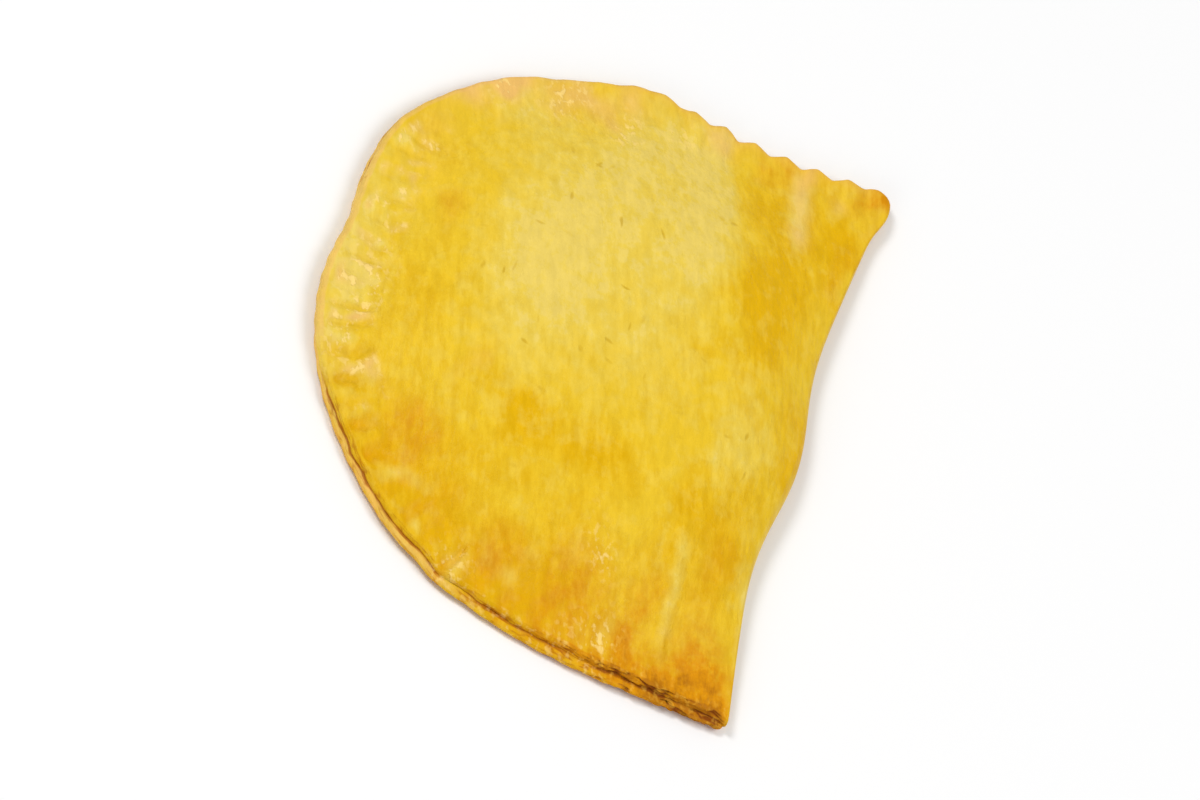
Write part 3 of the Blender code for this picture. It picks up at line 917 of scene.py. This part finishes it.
def tones(samples):
    """The mesh's tone attributes: how pale, golden, browned, pinkish and specked each sample is, with painted
    highlights, glints and shade among them, and so on."""
    at = Facts(samples[:, :2], *samples[:, 3:].T)
    drifts = drift(at.points)
    made = {
        name: patchwork(at.points + PATCH_DRIFT * drifts, patches) for name, patches in PATCHES.items()
    }
    streak_tones(made, at, drifts)
    crimp_tones(made, at)
    rim_tones(made, at)
    fold_tones(made, at)
    wall_tones(made, at)
    made["under"] = (at.part < 0).astype(float)
    made["crown"] = (at.part == 0) * rising(at.inside, 0.014, 0.008) * rising(at.from_fold, 0.004, 0.004)
    return made


# Colours of the pastry
YELLOW = (0.785, 0.515, 0.022, 1)
LEMON = (0.785, 0.585, 0.092, 1)
CREAM = (0.80, 0.60, 0.150, 1)
GOLDEN = (0.735, 0.420, 0.001, 1)
ORANGE = (0.685, 0.275, 0.001, 1)
BROWN = (0.32, 0.095, 0.002, 1)
PINK = (0.81, 0.485, 0.130, 1)
TAN = (0.82, 0.455, 0.095, 1)
UMBER = (0.41, 0.110, 0.001, 1)
# darkest colour of those gaps: charred crust and painted shade
CHARRED_AND_SHADED = (0.20, 0.038, 0.001, 1)
# pale cream of the flaking specks and of the painted glints on the crimp ridges
FLOUR_AND_GLINT = (0.95, 0.68, 0.22, 1)
CRISP = (0.90, 0.49, 0.045, 1)
TOASTED = (0.50, 0.22, 0.03, 1)
OLIVE = (0.56, 0.330, 0.004, 1)
GLOSS = 0.09
SHEET_TURN = 15  # degrees from the fold to the way the sheet was rolled out
FLECK_DRIFT = 0.008  # noise moves the flecks about by this much
FLECK_DRIFT_SCALE = 90
# Fine relief of the surface, in metres, for each noise and mark.
RELIEF = {
    "middle": 0.00050,
    "streaks": 0.00012,
    "mottle": 0.00012,
    "fine": 0.00003,
    "plate": 0.00007,
    "scale": 0.00003,
    "fleck": -0.00010,
    "speck": 0.00012,
}


class Nodes:
    """Short calls for building a material."""

    def __init__(self, name):
        self.material = bpy.data.materials.new(name)
        self.material.use_nodes = True
        self.tree = self.material.node_tree
        self.shader = self.tree.nodes["Principled BSDF"]
        self.place = self.add("ShaderNodeTexCoord").outputs["Object"]

    def set_inputs(self, node, inputs):
        """Links or sets the inputs that are given by name or number."""
        for key, value in inputs.items():
            if isinstance(value, bpy.types.NodeSocket):
                self.tree.links.new(value, node.inputs[key])
            else:
                node.inputs[key].default_value = value

    def add(self, kind, inputs=None, **settings):
        node = self.tree.nodes.new(kind)
        for key, value in settings.items():
            setattr(node, key, value)
        self.set_inputs(node, inputs or {})
        return node

    def attribute(self, name):
        return self.add("ShaderNodeAttribute", attribute_name=name).outputs["Fac"]

    def noise(self, scale, detail=3.0, roughness=0.5, stretch=1.0, turn=0.0, offset=(0, 0, 0)):
        """Noise with features this many times as long along a line turned from the fold by turn degrees."""
        turned = (0, 0, math.radians(turn))
        mapped = {"Vector": self.place, "Scale": (stretch, 1, 1), "Rotation": turned, "Location": offset}
        place = self.add("ShaderNodeMapping", mapped, vector_type="TEXTURE").outputs["Vector"]
        shape = {"Vector": place, "Scale": scale, "Detail": detail, "Roughness": roughness}
        return self.add("ShaderNodeTexNoise", shape).outputs["Fac"]

    def math(self, operation, a, b=0.0, clamp=False):
        node = self.add("ShaderNodeMath", {0: a, 1: b}, operation=operation, use_clamp=clamp)
        return node.outputs[0]

    def flecks(self, scale, stretch, rare):
        """Small marks scattered over the plan, drawn out by stretch; the rarer, the nearer rare is to 1."""
        wander = self.add("ShaderNodeTexNoise", {"Vector": self.place, "Scale": FLECK_DRIFT_SCALE})
        moves = {0: wander.outputs["Color"], 1: (FLECK_DRIFT, FLECK_DRIFT, 0), 2: self.place}
        moved = self.add("ShaderNodeVectorMath", moves, operation="MULTIPLY_ADD").outputs[0]
        place = self.add("ShaderNodeMapping", {"Vector": moved, "Scale": stretch}).outputs["Vector"]
        shape = {"Vector": place, "Scale": scale}
        cells = self.add("ShaderNodeTexVoronoi", shape, voronoi_dimensions="2D").outputs
        drawn_lot = self.add("ShaderNodeSeparateColor", {0: cells["Color"]}).outputs[0]
        chosen = self.remap(drawn_lot, rare, rare + 0.3)
        return self.math("MULTIPLY", self.remap(cells["Distance"], 0.03, 0.13, 1.0, 0.0), chosen)

    def remap(self, value, low, high, to_low=0.0, to_high=1.0):
        ends = {"From Min": low, "From Max": high, "To Min": to_low, "To Max": to_high}
        node = self.add("ShaderNodeMapRange", {"Value": value, **ends}, interpolation_type="SMOOTHSTEP")
        return node.outputs["Result"]

    def shade(self, colour, factor):
        """The colour, lighter or darker by this factor."""
        return self.add("ShaderNodeHueSaturation", {"Color": colour, "Value": factor}).outputs["Color"]

    def mix(self, share, a, b):
        node = self.add("ShaderNodeMix", {0: share, 6: a, 7: b}, data_type="RGBA", clamp_factor=True)
        return node.outputs[2]


def pastry_grains(n):
    """The noises that the pastry's colour and relief share."""
    plates = n.noise(150, 5, 0.62, stretch=1.8, turn=SHEET_TURN, offset=(2, 3, 7))
    scales = n.noise(420, 4, 0.6, stretch=1.6, turn=SHEET_TURN, offset=(4, 1, 9))
    return SimpleNamespace(
        broad=n.noise(75, 3, 0.55),
        middle=n.noise(240, 4, 0.6, offset=(3, 1, 2)),
        streaks=n.noise(520, 4, 0.62, stretch=3.8, turn=SHEET_TURN, offset=(5, 2, 1)),
        mottle=n.noise(620, 3, 0.65, offset=(1, 7, 4)),
        fine=n.noise(1900, 2, 0.6),
        plate=n.remap(plates, 0.46, 0.53),
        scales=scales,
        scale=n.remap(scales, 0.48, 0.56),
    )


def golden_colour(n, g):
    """Yellow, more golden in places and along the streaks."""
    gold = n.math("ADD", n.attribute("gold"), n.remap(g.broad, 0.38, 0.72, -0.15, 0.4))
    gold = n.math("ADD", gold, n.remap(g.streaks, 0.30, 0.72, -0.20, 0.28))
    gold = n.math("ADD", gold, n.remap(g.mottle, 0.35, 0.70, -0.10, 0.14))
    gold = n.math("ADD", gold, n.math("MULTIPLY", g.plate, -0.12))
    gold = n.math("ADD", gold, n.math("MULTIPLY", g.scale, -0.06))
    return n.mix(n.math("MULTIPLY", gold, 0.8, True), YELLOW, GOLDEN)


def paleness(n, g):
    """How pale the sheet is, with its mottling; the pale tone also carries painted highlights and sheen."""
    pale = n.math("ADD", n.attribute("pale"), n.remap(g.middle, 0.35, 0.70, -0.24, 0.24))
    pale = n.math("ADD", pale, n.remap(g.streaks, 0.32, 0.68, 0.07, -0.10), True)
    return n.math("MULTIPLY", pale, n.remap(g.mottle, 0.30, 0.62, 0.85, 1.03), True)


def browning(n, g):
    """How far the sheet is browned, with its mottling."""
    baked = n.math("MULTIPLY", n.attribute("brown"), n.remap(g.middle, 0.32, 0.66, 0.65, 1.25))
    baked = n.math("MULTIPLY", baked, n.remap(g.mottle, 0.30, 0.68, 0.88, 1.12))
    return n.math("MULTIPLY", baked, n.remap(g.streaks, 0.30, 0.68, 0.78, 1.20))


def crumbs_and_glints(n, pale):
    """(fleck, speck): dark flecks on the crown, and pale specks where the sheet has begun to flake, which on
    the crimp ridges are painted glints.
    """
    fleck = n.math("MAXIMUM", n.flecks(230, (0.36, 1, 1), 0.55), n.flecks(210, (1, 0.40, 1), 0.60))
    fleck = n.math("MULTIPLY", fleck, n.remap(pale, 0.15, 0.60, 0.25, 1.0))
    fleck = n.math("MULTIPLY", fleck, n.attribute("crown"))
    speck = n.remap(n.noise(720, 2, 0.5, stretch=1.3, turn=30, offset=(6, 6, 2)), 0.51, 0.66)
    return fleck, n.math("MULTIPLY", speck, n.attribute("specks"), True)


def pastry_colour(n, g, pale, fleck, speck):
    # lemon to cream with paleness, which carries painted highlights and sheen as well as the crust's own pale
    # tone
    colour = n.mix(pale, golden_colour(n, g), LEMON)
    colour = n.mix(n.remap(pale, 0.75, 1.0, 0.0, 0.5), colour, CREAM)
    colour = n.mix(n.math("MULTIPLY", n.attribute("pink"), 0.8, True), colour, PINK)
    baked = browning(n, g)
    colour = n.mix(n.math("MULTIPLY", baked, 0.9, True), colour, ORANGE)
    colour = n.mix(n.remap(baked, 1.0, 2.2, 0.0, 0.6), colour, BROWN)
    lip = n.math("MULTIPLY", n.attribute("lip"), n.remap(g.mottle, 0.3, 0.65, 0.2, 0.9))
    colour = n.mix(lip, colour, TAN)
    # painted shade in olive along the bottoms of the crimp marks
    colour = n.mix(n.math("MULTIPLY", n.attribute("mark_bottom_shade"), 0.7, True), colour, OLIVE)
    # umber to near black in the gaps, deeper where more baked: browned crust and painted shade
    dark = n.mix(n.remap(baked, 0.6, 1.5), UMBER, CHARRED_AND_SHADED)
    colour = n.mix(n.remap(n.attribute("seam"), 0.10, 0.80, 0.0, 0.85), colour, dark)
    colour = n.mix(n.math("MULTIPLY", fleck, 0.6), colour, OLIVE)
    # specks of flaking crust, and painted glints on the crimp ridges
    speck_colour = n.mix(n.remap(baked, 0.50, 1.30), FLOUR_AND_GLINT, CRISP)
    colour = n.mix(n.math("MULTIPLY", speck, 0.75), colour, speck_colour)
    colour = n.shade(colour, n.remap(g.streaks, 0.30, 0.70, 1.045, 0.955))
    colour = n.shade(colour, n.remap(g.scales, 0.32, 0.66, 0.975, 1.03))
    under = n.math("MULTIPLY", n.attribute("under"), n.remap(g.broad, 0.3, 0.65, 0.25, 0.9))
    return n.mix(under, colour, TOASTED)


def pastry_material():
    n = Nodes("baked_pastry")
    g = pastry_grains(n)
    pale = paleness(n, g)
    fleck, speck = crumbs_and_glints(n, pale)
    height = 0.0
    for name, value in {**vars(g), "fleck": fleck, "speck": speck}.items():
        if name in RELIEF:
            height = n.math("ADD", height, n.math("MULTIPLY", value, RELIEF[name]))
    bump = n.add("ShaderNodeBump", {"Strength": 0.8, "Distance": 1.0, "Height": height})
    finish = {
        "Base Color": pastry_colour(n, g, pale, fleck, speck),
        "Roughness": n.remap(g.middle, 0.3, 0.7, 0.34, 0.52),
        "Specular IOR Level": GLOSS,
        "Normal": bump.outputs["Normal"],
    }
    n.set_inputs(n.shader, finish)
    return n.material


def make_crust():
    """The baked pastry as one closed mesh."""
    made = rows()
    counts = [len(row) for row in made]
    starts = np.append(0, np.cumsum(counts))
    samples = np.vstack(made)
    vertices = np.column_stack(
        (samples[:, 0] - PLAN_MIDDLE[0], PLAN_MIDDLE[1] - samples[:, 1], samples[:, 2])
    )
    loops = [list(range(starts[k], starts[k + 1])) for k in range(len(made))]
    faces = []
    for outer, inner in zip(loops, loops[1:]):
        faces += faces_between(outer, inner)
    x, y = CENTRE
    crown = top(CENTRE[None])[0][0]
    for height, loop in ((0.0, loops[0][::-1]), (crown, loops[-1])):
        hub = len(vertices)
        vertices = np.vstack((vertices, (x - PLAN_MIDDLE[0], PLAN_MIDDLE[1] - y, height)))
        faces += [(first, second, hub) for first, second in zip(loop, loop[1:] + loop[:1])]
    mesh = bpy.data.meshes.new("patty_crust")
    mesh.from_pydata(vertices.tolist(), [], faces)
    samples = np.vstack((samples, samples[0], samples[-1]))
    samples[-2:, :2] = CENTRE
    for name, values in tones(samples).items():
        layer = mesh.attributes.new(name, "FLOAT", "POINT")
        layer.data.foreach_set("value", values.astype(np.float32))
    mesh.validate()
    mesh.update()
    mesh.shade_smooth()
    mesh.materials.append(pastry_material())
    crust = bpy.data.objects.new("patty_crust", mesh)
    bpy.context.scene.collection.objects.link(crust)
    return crust


def make_floor():
    bpy.ops.mesh.primitive_plane_add(size=FLOOR_SIZE)
    floor = bpy.context.object
    floor.name = "floor"
    material = bpy.data.materials.new("floor")
    material.use_nodes = True
    shader = material.node_tree.nodes["Principled BSDF"]
    shader.inputs["Base Color"].default_value = FLOOR_COLOUR
    shader.inputs["Roughness"].default_value = FLOOR_ROUGHNESS
    shader.inputs["Specular IOR Level"].default_value = FLOOR_GLOSS
    floor.data.materials.append(material)


def make_light(name, direction, size, power):
    light = bpy.data.lights.new(name, "AREA")
    light.shape = "DISK"
    light.size = size
    light.energy = power
    lamp = bpy.data.objects.new(name, light)
    bpy.context.scene.collection.objects.link(lamp)
    towards = Vector(direction).normalized()
    lamp.location = towards * LIGHT_DISTANCE
    lamp.rotation_mode = "QUATERNION"
    lamp.rotation_quaternion = towards.to_track_quat("Z", "Y")


def make_camera():
    camera = bpy.data.cameras.new("camera")
    camera.lens = CAMERA_LENS
    camera.clip_start, camera.clip_end = CAMERA_CLIP
    eye = bpy.data.objects.new("camera", camera)
    bpy.context.scene.collection.objects.link(eye)
    turn = Matrix((CAMERA_RIGHT, CAMERA_UP, CAMERA_BACK)).transposed()
    eye.matrix_world = Matrix.Translation(CAMERA_TARGET + CAMERA_BACK * CAMERA_DISTANCE) @ turn.to_4x4()
    bpy.context.scene.camera = eye


def make_studio():
    scene = bpy.context.scene
    scene.view_settings.view_transform = "Standard"
    scene.world = bpy.data.worlds.new("studio")
    scene.world.use_nodes = True
    background = scene.world.node_tree.nodes["Background"]
    background.inputs["Color"].default_value = SKY_COLOUR
    background.inputs["Strength"].default_value = SKY_STRENGTH
    make_floor()
    for light in LIGHTS:
        make_light(*light)
    make_camera()


crust = make_crust()
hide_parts("patty")
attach(crust, "root")
make_studio()
